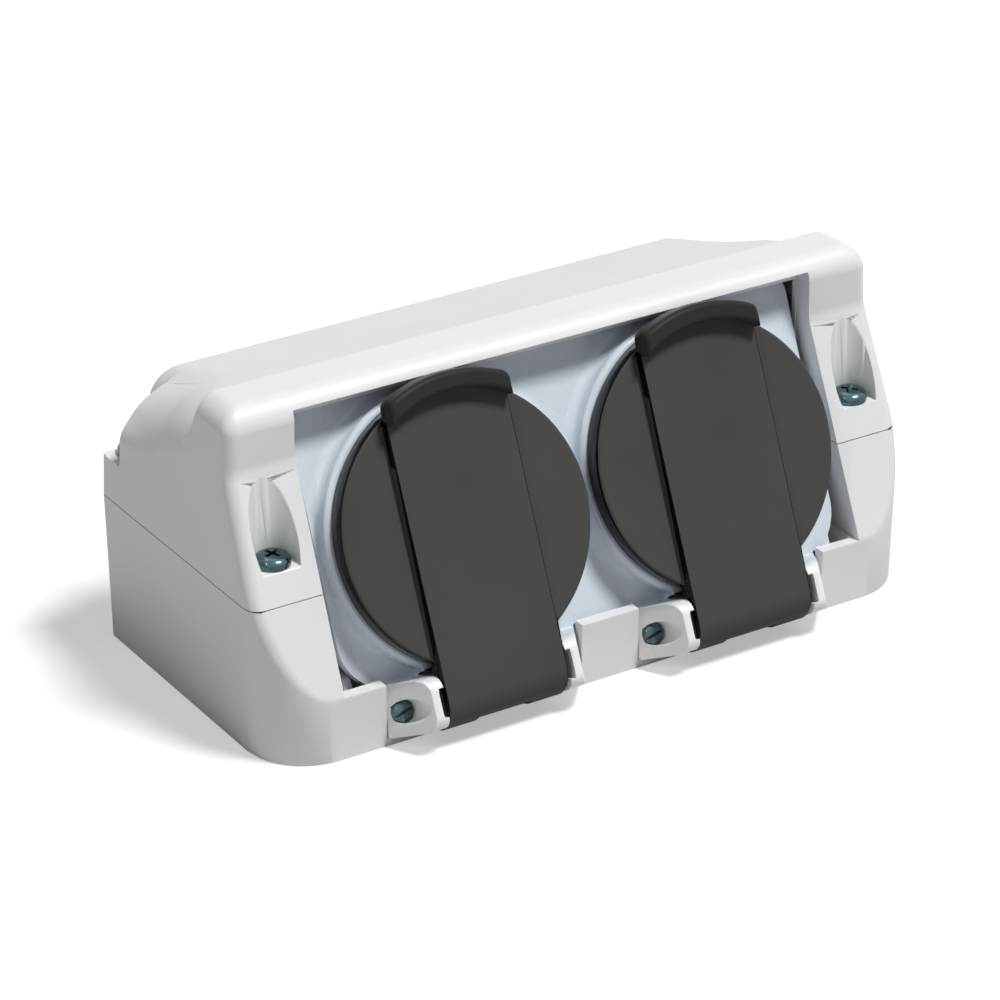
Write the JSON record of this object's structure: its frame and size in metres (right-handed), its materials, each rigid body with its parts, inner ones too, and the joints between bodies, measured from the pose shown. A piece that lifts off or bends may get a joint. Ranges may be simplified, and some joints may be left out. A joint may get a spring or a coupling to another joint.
{
  "type": "outdoor weatherproof socket",
  "caption": "Surface-mounted outdoor twin socket: a light grey housing with a sloped front, two round dark spring-closed lids with finger lips on hinges, and a hooded cover held by screws.",
  "frame": {"origin": "middle of the flat back, on the wall plane", "axes": "+X along the housing, -Y towards the lids, +Z away from the wall"},
  "size_m": [0.1658, 0.0855, 0.075],
  "materials": {
    "grey_shell": "fine satin moulding",
    "white_shell": "fine satin moulding",
    "white_plate": "satin moulding",
    "dark_lid": "satin charcoal",
    "dark_insert": "satin black",
    "carrier": "matt",
    "soft_seal": "matt",
    "zinc_screw": "zinc plated",
    "stainless": "bright drawn",
    "brass_contact": "bright"
  },
  "bodies": {
    "housing": {"base_box": "grey_shell", "front_cover": "white_shell", "joint_seal": "soft_seal", "socket_plate": "white_plate", "cover_screw_front_left": "zinc_screw", "cover_screw_front_right": "zinc_screw", "cover_screw_rear_left": "zinc_screw", "cover_screw_rear_right": "zinc_screw", "cable_grommet_left": "soft_seal", "socket_insert_left": "dark_insert", "contact_carrier_left": "carrier", "live_contact_left": "brass_contact", "neutral_contact_left": "brass_contact", "earth_contact_left": "brass_contact", "terminal_screws_left": "zinc_screw", "hinge_pin_left": "stainless", "lid_spring_left": "stainless", "fixing_screw_left": "zinc_screw", "cable_grommet_right": "soft_seal", "socket_insert_right": "dark_insert", "contact_carrier_right": "carrier", "live_contact_right": "brass_contact", "neutral_contact_right": "brass_contact", "earth_contact_right": "brass_contact", "terminal_screws_right": "zinc_screw", "hinge_pin_right": "stainless", "lid_spring_right": "stainless", "fixing_screw_right": "zinc_screw", "link_bar_live": "brass_contact", "link_bar_neutral": "brass_contact", "link_bar_earth": "brass_contact"},
    "left_lid": {"lid_left": "dark_lid", "lid_seal_left": "soft_seal"},
    "right_lid": {"lid_right": "dark_lid", "lid_seal_right": "soft_seal"}
  },
  "joints": [
    {"name": "left_lid_hinge", "type": "hinge", "parent": "housing", "child": "left_lid", "pos_m": [-0.03175, -0.0405, 0.0094], "axis": [1, 0, 0], "range_deg": [0, 105], "stiffness_Nm_per_rad": 0.011, "springref_deg": -103.13, "deforming": ["lid_spring_left"]},
    {"name": "right_lid_hinge", "type": "hinge", "parent": "housing", "child": "right_lid", "pos_m": [0.03175, -0.0405, 0.0094], "axis": [1, 0, 0], "range_deg": [0, 105], "stiffness_Nm_per_rad": 0.011, "springref_deg": -103.13, "deforming": ["lid_spring_right"]}
  ]
}
